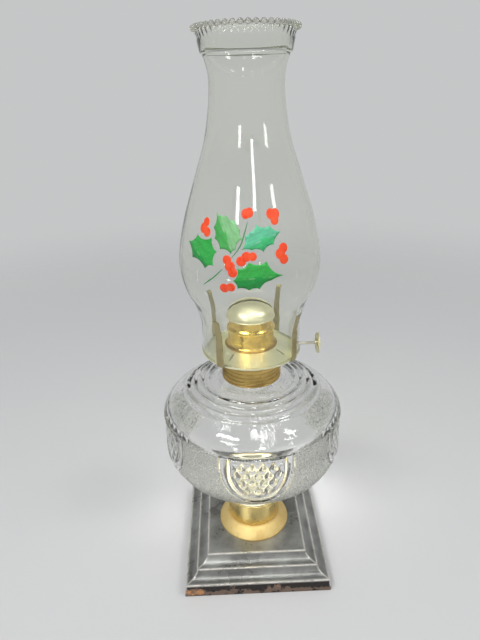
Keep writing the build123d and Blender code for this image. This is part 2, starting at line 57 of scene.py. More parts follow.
WORN_IRON_AND_HIGHLIGHT, UNDERCOAT, RUST = (0.80, 0.77, 0.71, 1), (0.17, 0.115, 0.085, 1), (0.55, 0.26, 0.10, 1)


def node(tree, kind, inputs=None, **settings):
    """Adds a shader node; an input given as a socket is wired, and any other is set."""
    made = tree.nodes.new(kind)
    for key, value in settings.items():
        setattr(made, key, value)
    for key, value in (inputs or {}).items():
        if isinstance(value, bpy.types.NodeSocket):
            tree.links.new(value, made.inputs[key])
        else:
            made.inputs[key].default_value = value
    return made


def bare_finish(name):
    """A new finish: its material, node tree, shader and the piece's own coordinates in metres."""
    material = bpy.data.materials.new(name)
    material.use_nodes = True
    tree = material.node_tree
    place = node(tree, "ShaderNodeTexCoord").outputs["Object"]
    return material, tree, tree.nodes["Principled BSDF"], place


def cloud(tree, place, scale, detail=4.0, rough=0.55):
    """Uneven patches from 0 to 1."""
    inputs = {"Vector": place, "Scale": scale, "Detail": detail, "Roughness": rough}
    return node(tree, "ShaderNodeTexNoise", inputs).outputs["Fac"]


def grade(tree, value, low, high, at_low=0.0, at_high=1.0):
    """A smooth step from one value to another."""
    inputs = {"Value": value, "From Min": low, "From Max": high, "To Min": at_low, "To Max": at_high}
    return node(tree, "ShaderNodeMapRange", inputs, interpolation_type="SMOOTHSTEP").outputs["Result"]


def sums(tree, operation, one, other=0.0):
    """One step of arithmetic."""
    return node(tree, "ShaderNodeMath", {0: one, 1: other}, operation=operation).outputs["Value"]


def tint(tree, share, one, other):
    """One colour passing into the other."""
    inputs = {0: share, 6: one, 7: other}
    return node(tree, "ShaderNodeMix", inputs, data_type="RGBA").outputs[2]


def relief(tree, height, depth, strength=1.0, under=None):
    """Fine surface relief, that many metres deep."""
    inputs = {"Height": height, "Distance": depth, "Strength": strength}
    if under is not None:
        inputs["Normal"] = under
    return node(tree, "ShaderNodeBump", inputs).outputs["Normal"]


def coat(tree, shader, colour=None, rough=None, normal=None):
    """Wires what varies over the surface into the shader."""
    for key, socket in (("Base Color", colour), ("Roughness", rough), ("Normal", normal)):
        if socket is not None:
            tree.links.new(socket, shader.inputs[key])


def put(name, shape, finish, body, slot, *nodes, crease=32):
    """Makes a shaped bmesh a piece of the lamp, in place of the nodes that it stands for."""
    mesh = bpy.data.meshes.new(name)
    shape.to_mesh(mesh)
    shape.free()
    mesh.shade_smooth()
    mesh.set_sharp_from_angle(angle=radians(crease))
    mesh.materials.append(finish)
    piece = bpy.data.objects.new(name, mesh)
    bpy.context.scene.collection.objects.link(piece)
    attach(piece, body)
    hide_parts(*nodes)
    return piece


def round_edges(piece, width, angle=32):
    """Takes the sharpness off a piece's edges."""
    rounding = piece.modifiers.new("rounding", "BEVEL")
    rounding.width = width
    rounding.segments = 3
    rounding.limit_method = "ANGLE"
    rounding.angle_limit = radians(angle)
    rounding.harden_normals = True


def base_outline():
    """The base's section in millimetres, from the floor over the ridges and back through the hollow."""
    line = [(FOOT_HALF, 0.0), RIDGES[0]]
    for (outer, low), (inner, high) in zip(RIDGES, RIDGES[1:]):
        cove_x, cove_z = outer - RIDGE_FLAT, high - RIDGE_FLAT
        for step in range(COVE_STEPS + 1):
            turn = radians(90 * step / COVE_STEPS)
            line.append((cove_x - (cove_x - inner) * sin(turn), cove_z - (cove_z - low) * cos(turn)))
        line.append((inner, high))
    return line + [(BASE_HOLLOW[0][0], RIDGES[-1][1])] + list(BASE_HOLLOW)


def close_up(shape):
    """Merges the seams of a spun shape and turns its faces outwards."""
    bmesh.ops.remove_doubles(shape, verts=shape.verts, dist=1e-6)
    bmesh.ops.recalc_face_normals(shape, faces=shape.faces)
    return shape


def spun(outline, steps, corner=False, closed=True):
    """Spins an outline of (radius, height) in millimetres round the lamp's axis.
    With corner the outline stands in a square's corner, and four steps make a mitred moulding."""
    shape = bmesh.new()
    points = [shape.verts.new((r * MM, r * MM if corner else 0, z * MM)) for r, z in outline]
    pairs = list(zip(points, points[1:])) + ([(points[-1], points[0])] if closed else [])
    edges = [shape.edges.new(pair) for pair in pairs]
    bmesh.ops.spin(
        shape, geom=points + edges, cent=(0, 0, 0), axis=(0, 0, 1), angle=2 * pi, steps=steps, use_merge=True
    )
    return close_up(shape)


def japanned_iron():
    """Black japan, dusty on its flats, worn at the ridges and mitres, chipped and rusty at the foot.
    The ridges' wear is partly a painted highlight, and the skirt is darkened with painted shade.
    """
    finish, tree, shader, place = bare_finish("japanned_iron")
    apart = node(tree, "ShaderNodeSeparateXYZ", {"Vector": place}).outputs
    across = sums(tree, "ABSOLUTE", apart["X"])
    along = sums(tree, "ABSOLUTE", apart["Y"])
    half = sums(tree, "MAXIMUM", across, along)
    section = node(tree, "ShaderNodeCombineXYZ", {"X": half, "Y": apart["Z"]}).outputs["Vector"]
    nearest = None
    for ridge_half, ridge_z in RIDGES:
        ridge = (ridge_half * MM, ridge_z * MM, 0)
        gap = node(tree, "ShaderNodeVectorMath", {0: section, 1: ridge}, operation="DISTANCE").outputs["Value"]
        nearest = gap if nearest is None else sums(tree, "MINIMUM", nearest, gap)
    mitre = sums(tree, "ABSOLUTE", sums(tree, "SUBTRACT", across, along))
    mitre = sums(tree, "ADD", mitre, grade(tree, half, 0.0415, 0.0425, 0.02, 0.0004))
    nearest = sums(tree, "MINIMUM", nearest, mitre)
    streaks = node(tree, "ShaderNodeMapping", {"Vector": place, "Scale": (1, 1, 0.3)}).outputs["Vector"]
    rubbing = cloud(tree, streaks, 160, 6)
    # Wear along the ridges and mitres; its bright grey is partly a painted highlight of light caught on the rounded
    # ridges.
    wear_and_highlight = grade(tree, sums(tree, "ADD", nearest, sums(tree, "MULTIPLY", rubbing, 0.0016)), 0.0029, 0.0013)
    wear_and_highlight = sums(tree, "MULTIPLY", wear_and_highlight, grade(tree, rubbing, 0.3, 0.62, 0.45, 0.95))
    dust = grade(tree, cloud(tree, place, 38, 6), 0.35, 0.75)
    colour = tint(tree, dust, JAPAN, DUST)
    # Painted shade: below the lowest ridge the skirt is darkened to near black.
    colour = tint(tree, grade(tree, apart["Z"], SKIRT_TOP, SKIRT_FULL), colour, SKIRT_PAINTED_SHADE)
    chips = cloud(tree, place, 95, 7, 0.62)
    foot = grade(tree, apart["Z"], 0.0085, 0.0015)
    outside = grade(tree, half, 0.0575, 0.0592)
    bare = grade(tree, sums(tree, "ADD", chips, sums(tree, "MULTIPLY", foot, 0.17)), 0.6, 0.645)
    bare = sums(tree, "MULTIPLY", bare, sums(tree, "MULTIPLY", outside, grade(tree, apart["Z"], 0.0105, 0.0085)))
    spot = node(tree, "ShaderNodeVectorMath", {0: place, 1: CHIP_PLACE}, operation="SUBTRACT").outputs["Vector"]
    spot = node(tree, "ShaderNodeVectorMath", {0: spot, 1: CHIP_SQUASH}, operation="MULTIPLY").outputs["Vector"]
    spot = node(tree, "ShaderNodeVectorMath", {0: spot}, operation="LENGTH").outputs["Value"]
    spot = sums(tree, "ADD", spot, sums(tree, "MULTIPLY", chips, 0.013))
    chip = sums(tree, "MULTIPLY", grade(tree, spot, CHIP_OUTER, CHIP_INNER), outside)
    colour = tint(tree, wear_and_highlight, colour, WORN_IRON_AND_HIGHLIGHT)
    colour = tint(tree, bare, colour, UNDERCOAT)
    rusty = sums(tree, "MAXIMUM", chip, sums(tree, "MULTIPLY", bare, grade(tree, chips, 0.6, 0.74)))
    rust = tint(tree, grade(tree, cloud(tree, place, 420, 5), 0.35, 0.65), RUST, UNDERCOAT)
    colour = tint(tree, rusty, colour, rust)
    broken = sums(tree, "MAXIMUM", bare, chip)
    rough = sums(tree, "ADD", grade(tree, dust, 0, 1, 0.27, 0.42), sums(tree, "MULTIPLY", broken, 0.4))
    tree.links.new(grade(tree, broken, 0, 1, 0.6, 0.0), shader.inputs["Metallic"])
    grain = relief(tree, cloud(tree, place, 900, 5), 0.00012, 0.5)
    pits = sums(tree, "MULTIPLY", broken, -1.0)
    coat(tree, shader, colour, rough, relief(tree, pits, 0.0004, 0.8, grain))
    return finish


base = put(
    "base", spun(base_outline(), 4, corner=True), japanned_iron(), "stand", "japanned_iron", "base_casting", crease=24
)
round_edges(base, RIDGE_WEAR * MM, 24)

# Bolt, washer and nut: plain steel fastenings under the base that pull the stem down on it.
# They are dull and a little brown, and show only from below.


def dull_steel():
    """Dull steel with brown patches."""
    finish, tree, shader, place = bare_finish("dull_steel")
    shader.inputs["Metallic"].default_value = 1.0
    patches = cloud(tree, place, 140, 6)
    colour = tint(tree, grade(tree, patches, 0.42, 0.7), (0.36, 0.35, 0.34, 1), (0.17, 0.10, 0.065, 1))
    grain = relief(tree, cloud(tree, place, 1500, 3), 0.0001, 0.4)
    coat(tree, shader, colour, grade(tree, patches, 0.3, 0.7, 0.35, 0.62), grain)
    return finish


def dress(finish, *nodes):
    """Gives a finish to solids that are shown as they are."""
    for name in nodes:
        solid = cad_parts[name]
        if not solid.material_slots:
            solid.data.materials.append(finish)
        for held in solid.material_slots:
            held.material = finish


dress(dull_steel(), "base_bolt", "base_washer", "base_nut")

# Stem: a spun flange on the base and, on it, the ferrule that the font's peg is set in.
# Both are thin polished brass, lathe-turned, gone a little brown in the corner between them.
# The ferrule's brass is brighter than the flange's as a painted highlight, for the flange's shine mirrored in it.
SHEET = 0.9
PLATE_TOP = RIDGES[-1][1]
BOLT_HOLE = 4.3
STEM_WAIST, WAIST_Z = 21.8, 35.0
FLANGE_R, FLANGE_UNDER, FLANGE_LIP = 31.0, 30.1, 1.6
FERRULE_MOUTH, FERRULE_TOP, LIP = 23.4, 58.0, 0.7
TURNS = 128


def bow(start, through, end, count):
    """Points on the arc through three points of an outline, without its first one."""
    (ax, ay), (bx, by), (cx, cy) = start, through, end
    twice = 2 * (ax * (by - cy) + bx * (cy - ay) + cx * (ay - by))
    one, two, three = ax * ax + ay * ay, bx * bx + by * by, cx * cx + cy * cy
    ox = (one * (by - cy) + two * (cy - ay) + three * (ay - by)) / twice
    oy = (one * (cx - bx) + two * (ax - cx) + three * (bx - ax)) / twice
    first, last = atan2(ay - oy, ax - ox), atan2(cy - oy, cx - ox)
    sweep = (last - first) % (2 * pi)
    if (atan2(by - oy, bx - ox) - first) % (2 * pi) > sweep:
        sweep -= 2 * pi
    reach = hypot(ax - ox, ay - oy)
    turns = [first + sweep * step / count for step in range(1, count + 1)]
    return [(ox + reach * cos(turn), oy + reach * sin(turn)) for turn in turns]


def turned_brass(name, bright, brown, patches, rough, lathe=1.0, low=None):
    """Spun or pressed brass: fine lathe rings, uneven tarnish, and browning towards the height low."""
    finish, tree, shader, place = bare_finish(name)
    shader.inputs["Metallic"].default_value = 1.0
    apart = node(tree, "ShaderNodeSeparateXYZ", {"Vector": place}).outputs
    flat = node(tree, "ShaderNodeCombineXYZ", {"X": apart["X"], "Y": apart["Y"]}).outputs["Vector"]
    radius = node(tree, "ShaderNodeVectorMath", {0: flat}, operation="LENGTH").outputs["Value"]
    along = sums(tree, "ADD", apart["Z"], sums(tree, "MULTIPLY", radius, 0.8))
    rings = node(tree, "ShaderNodeTexNoise", {"W": along, "Scale": 2600.0, "Detail": 3.0}, noise_dimensions="1D")
    stain = cloud(tree, place, patches, 6, 0.6)
    spots = grade(tree, cloud(tree, place, patches * 9, 3), 0.62, 0.72)
    dark = sums(tree, "MAXIMUM", grade(tree, stain, 0.42, 0.74), sums(tree, "MULTIPLY", spots, 0.55))
    if low is not None:
        ring, width = low
        seat = sums(tree, "ABSOLUTE", sums(tree, "SUBTRACT", apart["Z"], ring * MM))
        dark = sums(tree, "MAXIMUM", dark, grade(tree, seat, width * MM, 0.0, 0.0, 0.85))
    colour = tint(tree, dark, bright, brown)
    shine = sums(tree, "ADD", grade(tree, stain, 0.3, 0.75, rough, rough + 0.2), sums(tree, "MULTIPLY", dark, 0.08))
    turned = relief(tree, rings.outputs["Fac"], 0.00004 * lathe, 0.7)
    coat(tree, shader, colour, shine, relief(tree, cloud(tree, place, 700, 4), 0.00006, 0.25, turned))
    return finish


stem_brass = turned_brass("stem_brass", (0.82, 0.65, 0.30, 1), (0.62, 0.43, 0.17, 1), 26, 0.6, low=(WAIST_Z, 1.6))
# Painted highlight: the ferrule's brass is a brighter copy of the flange's brass.
ferrule_brass_painted_highlight = turned_brass(
    "ferrule_brass_painted_highlight", (0.97, 0.77, 0.33, 1), (0.80, 0.56, 0.20, 1), 26, 0.22, low=(WAIST_Z, 1.2)
)
flange_lip, flange_under = (FLANGE_R, PLATE_TOP + FLANGE_LIP), (FLANGE_UNDER, PLATE_TOP)
waist_under = (STEM_WAIST - SHEET, WAIST_Z - SHEET)
flange_outline = [flange_under, (FLANGE_R, PLATE_TOP), flange_lip]
flange_outline += bow(flange_lip, (29.6, PLATE_TOP + 3.0), (STEM_WAIST, WAIST_Z), 18)
flange_outline += [(BOLT_HOLE, WAIST_Z), (BOLT_HOLE, WAIST_Z - SHEET), waist_under]
flange_outline += bow(waist_under, (28.7, PLATE_TOP + 2.1), flange_under, 18)[:-1]
flange = put("flange", spun(flange_outline, TURNS), stem_brass, "stand", "stem_brass", "stem_flange", crease=28)
round_edges(flange, 0.25 * MM, 28)

lip_start, lip_end = (FERRULE_MOUTH - 0.1, FERRULE_TOP - 2 * LIP), (FERRULE_MOUTH - 0.1, FERRULE_TOP)
ferrule_outline = [(BOLT_HOLE, WAIST_Z), (STEM_WAIST, WAIST_Z), lip_start]
ferrule_outline += bow(lip_start, (FERRULE_MOUTH + LIP, FERRULE_TOP - LIP), lip_end, 8)
ferrule_outline += [
    (FERRULE_MOUTH - SHEET, FERRULE_TOP),
    (STEM_WAIST - SHEET, WAIST_Z + SHEET),
    (BOLT_HOLE, WAIST_Z + SHEET),
]
ferrule = put("ferrule", spun(ferrule_outline, TURNS), ferrule_brass_painted_highlight, "stand", "stem_brass", "stem_ferrule", crease=28)
round_edges(ferrule, 0.2 * MM, 28)

# Plaster: white setting that holds the font's peg in the ferrule and the collar on the neck.
# It is cast in place, chalky, yellowed by oil, and seen only through the glass.


def chalky_plaster():
    """Chalky plaster with yellowed grains."""
    finish, tree, shader, place = bare_finish("chalky_plaster")
    grains = cloud(tree, place, 260, 6)
    colour = tint(tree, grains, (0.92, 0.90, 0.74, 1), (0.78, 0.73, 0.54, 1))
    coat(tree, shader, colour, grade(tree, grains, 0.2, 0.8, 0.85, 0.95), relief(tree, grains, 0.0003, 0.5))
    return finish


dress(chalky_plaster(), "peg_plaster", "collar_plaster")

# Font: the pressed glass bowl for the oil, on a peg below and under a collar above.
# Five shield panels of diamonds in plain double borders stand in a stippled ground, with a groove and
# a plain band over them, and stepped rings run round the shoulder.
FONT_R = 71.55
FONT_SEAT, BAND_Z = 58.4, 149.2
PEG_R, PEG_LOW = 12.5, 42.0
NECK_R, NECK_BORE, NECK_TOP, NECK_UNDER = 20.4, 17.2, 188.5, 172.6
BOWL_TURN, SIDE_LOW = (62.0, 99.5), 120.0
PANELS = 5
PANEL_HALF, PANEL_SIDE, PANEL_TOP, PANEL_DEEP = 21.0, 138.0, 147.3, 24.5
BORDER, BORDER_RISE = 0.14, 0.85
GROUND_HALF, GROUND_SIDE, GROUND_DEEP = 27.5, 140.0, 32.0
EDGE_IN, EDGE_OUT, EDGE_RISE, SUNK = 0.93, 1.03, 0.9, -0.35
PEBBLES, PEBBLE_RISE = 620.0, 0.3
DIAMOND_HALF, DIAMOND_HIGH, DIAMOND_ROW = 3.85, 6.3, 146.5
DIAMOND_RISE, DIAMOND_VALLEY = 0.95, -0.35
PRESS_LOW, PRESS_FULL = 99.0, 105.0
FONT_STEPS = 480
GROOVE, BAND_FOOT, SHOULDER_EDGE = (70.4, 149.8), (71.3, 150.4), (71.87, 151.2)
RING_OUTER, RING_INNER, RINGS, RING_BULGE = 55.0, 33.0, 4, 1.0


def shoulder_z(radius):
    """Height of the shoulder's valleys, which fall away from the collar."""
    return 175.6 - 0.0093 * (radius - 25.0) ** 2


def run(start, end, count):
    """Evenly spaced points of a straight stretch of an outline, without its first one."""
    (ax, ay), (bx, by) = start, end
    return [(ax + (bx - ax) * i / count, ay + (by - ay) * i / count) for i in range(1, count + 1)]


def flow(points, count, first=None, last=None):
    """A smooth line through points of an outline, without its first one; first and last are end slopes."""
    ends = len(points) - 1
    slopes = []
    for i in range(ends + 1):
        ahead = Vector(points[min(i + 1, ends)]) - Vector(points[max(i - 1, 0)])
        slopes.append(ahead.normalized())
    slopes[0] = Vector(first) if first else slopes[0]
    slopes[-1] = Vector(last) if last else slopes[-1]
    line = []
    for i in range(ends):
        one, two = Vector(points[i]), Vector(points[i + 1])
        third = (two - one).length / 3
        piece = interpolate_bezier(one, one + slopes[i] * third, two - slopes[i + 1] * third, two, count + 1)
        line += [tuple(p) for p in piece[1:]]
    return line


font_foot = [(0.0, PEG_LOW), (PEG_R, PEG_LOW), (PEG_R, 55.4), (20.4, 57.2), (21.6, FONT_SEAT)]
font_side = [font_foot[-1]]
font_side += bow(font_side[-1], (40.5, 80.0), BOWL_TURN, 22)
font_side += bow(font_side[-1], (69.17, 108.64), (FONT_R, SIDE_LOW), 24)
font_side += run(font_side[-1], (FONT_R, BAND_Z), 38)
font_side += bow(font_side[-1], GROOVE, BAND_FOOT, 6)
font_side += run(font_side[-1], SHOULDER_EDGE, 2)
font_top = bow(SHOULDER_EDGE, (64.3, 161.5), (RING_OUTER, shoulder_z(RING_OUTER)), 20)
ring_wide = (RING_OUTER - RING_INNER) / RINGS
for ring in range(RINGS):
    outer = RING_OUTER - ring * ring_wide
    middle, inner = outer - ring_wide / 2, outer - ring_wide
    crest = (middle, shoulder_z(middle) + RING_BULGE)
    font_top += bow((outer, shoulder_z(outer)), crest, (inner, shoulder_z(inner)), 7)
font_top += [(26.5, 176.2), (24.0, 177.6), (NECK_R, 177.6), (NECK_R, NECK_TOP)]
font_top += [(NECK_BORE, NECK_TOP), (NECK_BORE, NECK_UNDER)]
font_hollow = flow(
    [
        (NECK_BORE, NECK_UNDER),
        (19.4, 170.4),
        (34.0, 168.6),
        (48.0, 164.4),
        (59.3, 157.4),
        (65.3, 151.1),
        (65.3, 142.2),
        (64.1, 124.0),
        (63.5, 109.4),
        (56.1, 101.0),
        (40.2, 85.1),
        (21.1, 68.5),
        (10.0, 64.9),
        (0.0, 64.4),
    ],
    3,
    (0, -1),
    (-1, 0),
)


def across(value, line):
    """The radius of an outline that rises steadily, at a height."""
    for (low_r, low_z), (high_r, high_z) in zip(line, line[1:]):
        if low_z <= value <= high_z:
            return low_r + (high_r - low_r) * (value - low_z) / (high_z - low_z)
    return 0.0


def ramp(value, low, high):
    """A smooth step from 0 to 1."""
    share = min(1.0, max(0.0, (value - low) / (high - low)))
    return share * share * (3 - 2 * share)


def pressed(spot):
    """How far the mould's pattern lifts the bowl's surface there, in millimetres, and its share of stipple."""
    turn = (degrees(atan2(spot.y, spot.x)) + 90 + 180 / PANELS) % (360 / PANELS) - 180 / PANELS
    s, z = radians(turn) * FONT_R, spot.z / MM
    pebbles = noise.noise(spot * PEBBLES, noise_basis="VORONOI_F1")
    ground = PEBBLE_RISE * min(1.0, max(0.0, 1.0 - abs(pebbles))) - PEBBLE_RISE
    strength = ramp(z, PRESS_LOW, PRESS_FULL)
    shield = hypot(s / PANEL_HALF, max(0.0, PANEL_SIDE - z) / PANEL_DEEP)
    shield = max(shield, 1 - BORDER + BORDER * (z - PANEL_TOP) / (BAND_Z - PANEL_TOP))
    edging = hypot(s / GROUND_HALF, max(0.0, GROUND_SIDE - z) / GROUND_DEEP)
    if shield < 1 - BORDER:
        up, side = (z - DIAMOND_ROW) / DIAMOND_HIGH, s / DIAMOND_HALF
        one, two = (side + up) / 2, (side - up) / 2
        peak = cos(pi * (one - round(one))) * cos(pi * (two - round(two)))
        return (DIAMOND_VALLEY + DIAMOND_RISE * peak) * strength, 0.0
    if shield < 1:
        return BORDER_RISE * sin(pi * (shield - 1 + BORDER) / BORDER) * strength, 0.0
    if edging < EDGE_IN:
        return SUNK * ramp(shield, 1.0, 1.06) * strength, 0.0
    if edging < EDGE_OUT:
        return (SUNK + EDGE_RISE * sin(pi * (edging - EDGE_IN) / (EDGE_OUT - EDGE_IN))) * strength, 0.0
    return ground * strength, strength


def clear_glass(name, colour, depth, wave, wave_depth, milky_part):
    """Clear glass with a faint tint in its thickness; light passes through it into the shadows.
    The milky part is its frosted stipple on the font and its beads on the chimney, whose milkiness is painted light:
    the attribute, loss of clearness, roughness, grain scale and depth."""
    finish, tree, shader, place = bare_finish(name)
    shader.inputs["IOR"].default_value = 1.5
    smears = cloud(tree, place, 45, 5)
    stretch = node(tree, "ShaderNodeMapping", {"Vector": place, "Scale": (1, 1, 0.35)}).outputs["Vector"]
    normal = relief(tree, cloud(tree, stretch, wave, 2), wave_depth, 0.5)
    rough = grade(tree, smears, 0.5, 0.85, 0.0, 0.06)
    attribute, milk, dull, grain, grain_depth = milky_part
    mask = node(tree, "ShaderNodeAttribute", attribute_name=attribute).outputs["Fac"]
    pebbles = node(tree, "ShaderNodeTexVoronoi", {"Vector": place, "Scale": grain}, feature="SMOOTH_F1")
    pebbles = pebbles.outputs["Distance"]
    dents = sums(tree, "MULTIPLY", pebbles, sums(tree, "MULTIPLY", mask, -1.0))
    normal = relief(tree, dents, grain_depth, 1.0, normal)
    valleys = grade(tree, pebbles, 0.1, 0.45, 0.3, 1.0)
    rough = sums(tree, "ADD", rough, sums(tree, "MULTIPLY", sums(tree, "MULTIPLY", mask, valleys), dull))
    tree.links.new(grade(tree, mask, 0, 1, 1.0, 1.0 - milk), shader.inputs["Transmission Weight"])
    coat(tree, shader, tint(tree, mask, (1, 1, 1, 1), (0.74, 0.74, 0.69, 1)), rough, normal)
    clear = node(tree, "ShaderNodeBsdfTransparent").outputs["BSDF"]
    shadow = node(tree, "ShaderNodeLightPath").outputs["Is Shadow Ray"]
    passing = node(tree, "ShaderNodeMixShader", {0: shadow, 1: shader.outputs["BSDF"], 2: clear})
    out = tree.nodes["Material Output"]
    tree.links.new(passing.outputs["Shader"], out.inputs["Surface"])
    absorb = node(tree, "ShaderNodeVolumeAbsorption", {"Color": colour, "Density": depth})
    tree.links.new(absorb.outputs["Volume"], out.inputs["Volume"])
    return finish


stipple = ("stipple", 0.3, 0.4, PEBBLES, 0.0011)
font_glass = clear_glass("font_glass", (0.78, 0.80, 0.72, 1), 14.0, 75, 0.0009, stipple)
font_shape = spun(font_foot + font_side[1:] + font_top + font_hollow, FONT_STEPS, closed=False)
font_shape.normal_update()
stippled = font_shape.verts.layers.float.new("stipple")
moves = []
for vert in font_shape.verts:
    height = vert.co.z / MM
    if PRESS_LOW < height < BAND_Z and hypot(vert.co.x, vert.co.y) / MM > across(height, font_side) - 1.0:
        lift, vert[stippled] = pressed(vert.co)
        moves.append((vert, vert.normal * lift * MM))
for vert, move in moves:
    vert.co += move
put("glass_font", font_shape, font_glass, "stand", "font_glass", "font", crease=50)

# Collar: the threaded brass ring set over the font's neck, spun as a channel with rolled rings outside.
# It has aged to an orange brown, darker on its shaded side and between its rings.
COLLAR_R, COLLAR_LOW, COLLAR_HIGH = 22.7, 177.6, 192.0
COLLAR_BORE, CHANNEL_LOW, CHANNEL_TOP = 16.3, 182.0, 190.8
ROLL, ROLL_GAP, ROLLS = 0.7, 3.4, 4
collar_outline = [(COLLAR_R - SHEET, COLLAR_LOW), (COLLAR_R, COLLAR_LOW)]
for roll in range(ROLLS):
    roll_z = COLLAR_LOW + 0.9 + roll * ROLL_GAP
    start, crest, end = (COLLAR_R, roll_z - ROLL), (COLLAR_R + ROLL, roll_z), (COLLAR_R, roll_z + ROLL)
    collar_outline += [start] + bow(start, crest, end, 8)
collar_outline += [
    (COLLAR_R, COLLAR_HIGH - 1.0),
    (COLLAR_R - 1.0, COLLAR_HIGH),
    (COLLAR_BORE, COLLAR_HIGH),
    (COLLAR_BORE, CHANNEL_LOW),
    (NECK_BORE, CHANNEL_LOW),
    (NECK_BORE, CHANNEL_TOP),
    (COLLAR_R - SHEET, CHANNEL_TOP),
]
collar_brass = turned_brass("collar_brass", (0.70, 0.50, 0.18, 1), (0.32, 0.21, 0.075, 1), 40, 0.26)
put("threaded_collar", spun(collar_outline, TURNS), collar_brass, "stand", "collar_brass", "collar", crease=50)

# Burner shell: sheet brass thimble, air basket, slit gallery deck and four spring prongs,
# pressed and riveted together, with the slotted dome on its drum. It has a pale, greenish, satin tone;
# the prongs' darker brass is painted shade and the deck's paler brass a painted highlight.
pale_brass = turned_brass("pale_brass", (0.94, 0.92, 0.68, 1), (0.72, 0.66, 0.40, 1), 55, 0.26)
# Painted highlight: the deck's brass is a paler copy of the burner's brass.
deck_brass_painted_highlight = turned_brass("deck_brass_painted_highlight", (0.97, 0.95, 0.72, 1), (0.86, 0.82, 0.56, 1), 55, 0.38)
dome_brass = turned_brass("dome_brass", (0.92, 0.88, 0.61, 1), (0.72, 0.66, 0.41, 1), 45, 0.36)
# Painted shade: the prongs' brass is a darker copy of the burner's brass.
prong_brass_painted_shade = turned_brass("prong_brass_painted_shade", (0.46, 0.40, 0.22, 1), (0.30, 0.24, 0.12, 1), 55, 0.3)
dress(deck_brass_painted_highlight, "gallery_deck")
dress(pale_brass, "prong_rivets", "shaft_bushing")
dress(dome_brass, "dome", "air_basket", "burner_thimble", "wick_tube", "ratchet_housing")
dress(prong_brass_painted_shade, "prong_back_right", "prong_back_left", "prong_front_left", "prong_front_right")

# Drum: the burner's upright body between deck and dome, spun brass with a spread foot and one rolled bead.
# It keeps more of its gold colour than the rest of the burner.
DRUM_R, DRUM_FOOT, DRUM_LOW, DRUM_TOP = 17.6, 20.3, 206.6, 229.6
BEAD_LOW, BEAD_HIGH = 219.4, 222.6
DRUM_WALL, DRUM_STEP = 0.8, 0.8
drum_edge = (DRUM_FOOT, DRUM_LOW + DRUM_WALL)
drum_outline = [(DRUM_R - DRUM_WALL, DRUM_LOW), (DRUM_FOOT, DRUM_LOW), drum_edge]
drum_outline += bow(drum_edge, (DRUM_R + 0.8, DRUM_LOW + 2.0), (DRUM_R, DRUM_LOW + 4.4), 8)
drum_outline += [(DRUM_R, BEAD_LOW)]
drum_outline += bow((DRUM_R, BEAD_LOW), (DRUM_R + 0.9, (BEAD_LOW + BEAD_HIGH) / 2), (DRUM_R, BEAD_HIGH), 10)
drum_outline += [
    (DRUM_R - DRUM_STEP, BEAD_HIGH + 1.2),
    (DRUM_R - DRUM_STEP, DRUM_TOP),
    (DRUM_R - DRUM_STEP - DRUM_WALL, DRUM_TOP),
    (DRUM_R - DRUM_STEP - DRUM_WALL, BEAD_HIGH + 1.0),
    (DRUM_R - DRUM_WALL, BEAD_HIGH),
]
drum_brass = turned_brass(
    "drum_brass", (0.92, 0.65, 0.16, 1), (0.45, 0.28, 0.09, 1), 60, 0.22, low=(DRUM_LOW + DRUM_WALL, 2.0)
)
drum = put("drum", spun(drum_outline, TURNS), drum_brass, "burner", "burner_brass", "cone_body", crease=28)
round_edges(drum, 0.2 * MM, 28)

# Wick raiser: a drawn wire shaft with three toothed wheels behind the wick, and a notched thumbwheel.
# The wire is pale and scuffed, and the thumbwheel is stamped from the burner's brass.


def drawn_wire():
    """Pale drawn wire, scuffed along its length."""
    finish, tree, shader, place = bare_finish("drawn_wire")
    shader.inputs["Metallic"].default_value = 1.0
    streaks = node(tree, "ShaderNodeMapping", {"Vector": place, "Scale": (0.05, 1, 1)}).outputs["Vector"]
    lines = cloud(tree, streaks, 2400, 3)
    colour = tint(tree, cloud(tree, place, 120, 5), (0.86, 0.84, 0.76, 1), (0.66, 0.60, 0.46, 1))
    coat(tree, shader, colour, grade(tree, lines, 0.3, 0.7, 0.24, 0.42), relief(tree, lines, 0.00005, 0.5))
    return finish


dress(drawn_wire(), "wick_shaft", "sprocket_wheels")
dress(pale_brass, "thumbwheel")

# Wick: a flat strip of woven cotton cords that runs up the tube to the dome's slot.
# The raiser's wheels move it, and it is charred where it burns.
WICK_HALF, WICK_THICK, WICK_LOW, WICK_HIGH = 12.7, 2.4, 166.0, 235.0
CORDS, CORD_STEPS, CORD_GROOVE = 13, 6, 0.38
WEFT, CHAR_LOW, CHAR_FULL = 0.0016, 0.2335, 0.2362


def woven_cotton():
    """Cream cotton with the weft showing, charred at the top."""
    finish, tree, shader, place = bare_finish("woven_cotton")
    apart = node(tree, "ShaderNodeSeparateXYZ", {"Vector": place}).outputs
    weft = sums(tree, "SINE", sums(tree, "MULTIPLY", apart["Z"], 2 * pi / WEFT))
    drawn_out = node(tree, "ShaderNodeMapping", {"Vector": place, "Scale": (1, 1, 0.15)}).outputs["Vector"]
    fibres = cloud(tree, drawn_out, 3000, 4)
    colour = tint(tree, fibres, (0.83, 0.78, 0.66, 1), (0.60, 0.53, 0.41, 1))
    ragged = sums(tree, "ADD", apart["Z"], sums(tree, "MULTIPLY", cloud(tree, place, 500, 4), 0.003))
    colour = tint(tree, grade(tree, ragged, CHAR_LOW, CHAR_FULL), colour, (0.018, 0.013, 0.01, 1))
    height = sums(tree, "ADD", sums(tree, "MULTIPLY", weft, 0.5), fibres)
    coat(tree, shader, colour, None, relief(tree, height, 0.00025, 0.8))
    shader.inputs["Roughness"].default_value = 0.92
    shader.inputs["Sheen Weight"].default_value = 0.3
    return finish


